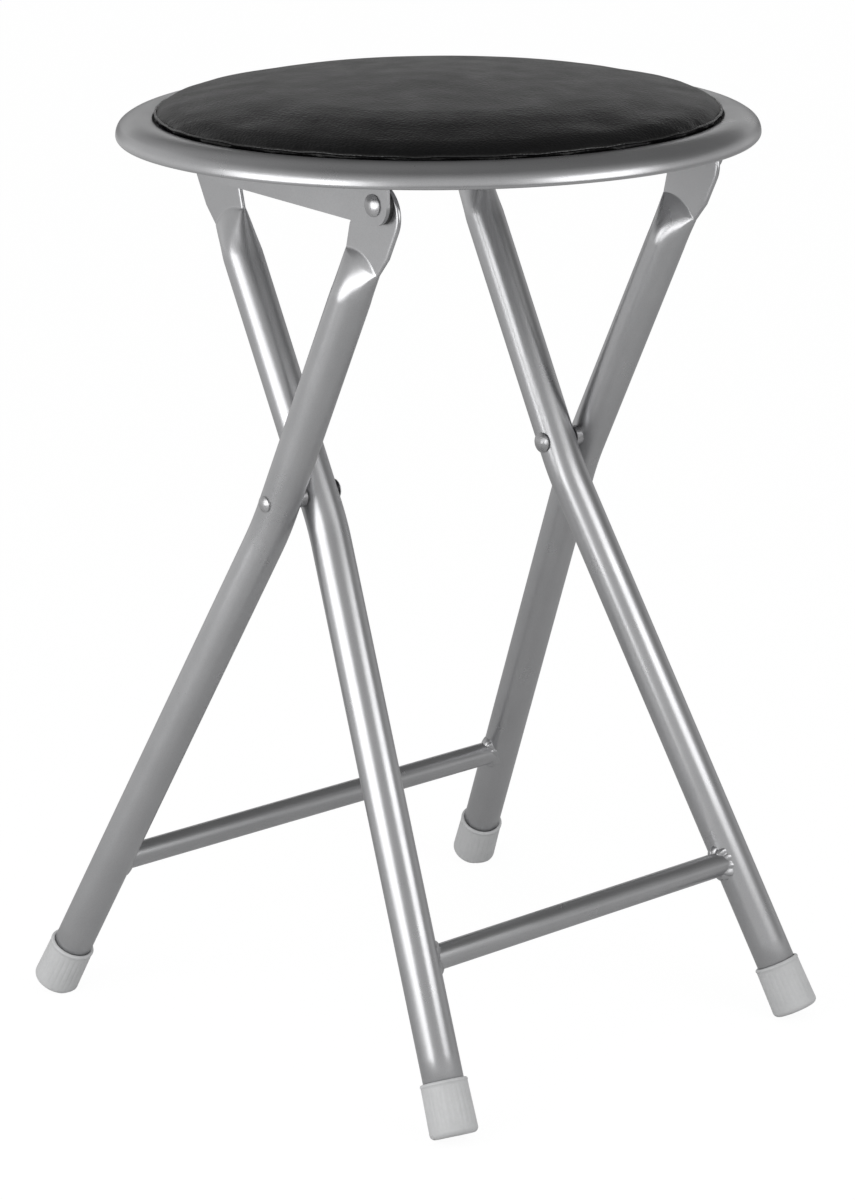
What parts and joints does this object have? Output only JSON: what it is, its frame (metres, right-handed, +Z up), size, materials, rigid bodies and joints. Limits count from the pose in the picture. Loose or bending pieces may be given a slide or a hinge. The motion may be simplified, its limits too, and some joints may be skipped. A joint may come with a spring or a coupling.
{
  "type": "folding stool",
  "caption": "Low folding stool with a round padded seat in a steel pan on two crossed, splayed tube frames; the seat flips up so the legs scissor flat.",
  "frame": {"origin": "on the floor under the middle of the seat", "axes": "+Z up; +X from the feet of the outer frame towards the feet of the inner frame; Y along the crossbars"},
  "size_m": [0.3, 0.3008, 0.4585],
  "materials": {
    "silver_paint": "satin silver-grey metallic",
    "plated_steel": "satin",
    "bare_steel": "satin",
    "foot_plastic": "soft light grey",
    "black_nylon": "matt",
    "vinyl": "black vinyl with a fine grain and a low sheen",
    "foam": "open foam",
    "board": "raw particle board"
  },
  "bodies": {
    "outer_frame": {"outer_leg_near": "silver_paint", "outer_leg_far": "silver_paint", "outer_crossbar": "silver_paint", "outer_welds": "silver_paint", "outer_foot_cap_near": "foot_plastic", "outer_foot_cap_far": "foot_plastic", "crossing_rivet_near": "plated_steel", "crossing_rivet_far": "plated_steel", "crossing_spacer_near": "plated_steel", "crossing_spacer_far": "plated_steel", "hinge_rivet_near": "plated_steel", "hinge_rivet_far": "plated_steel"},
    "inner_frame": {"inner_leg_near": "silver_paint", "inner_leg_far": "silver_paint", "inner_crossbar": "silver_paint", "inner_welds": "silver_paint", "inner_foot_cap_near": "foot_plastic", "inner_foot_cap_far": "foot_plastic", "top_rod": "plated_steel"},
    "seat": {"seat_pan": "silver_paint", "seat_board": "board", "seat_foam": "foam", "seat_cover": "vinyl", "pad_screws": "bare_steel", "seat_bracket_near": "silver_paint", "seat_bracket_far": "silver_paint", "rod_catch_near": "black_nylon", "rod_catch_far": "black_nylon", "hinge_washer_near": "black_nylon", "hinge_washer_far": "black_nylon"}
  },
  "joints": [
    {"name": "leg_fold", "type": "hinge", "parent": "outer_frame", "child": "inner_frame", "pos_m": [0, 0, 0.272], "axis": [0, 1, 0], "range_deg": [0, 48]},
    {"name": "seat_flip", "type": "hinge", "parent": "outer_frame", "child": "seat", "pos_m": [0.07559, 0, 0.421], "axis": [0, 1, 0], "range_deg": [0, 112]}
  ],
  "couplings": [
    {"joint": "seat_flip", "follows": "leg_fold", "ratio": 2.3333}
  ]
}
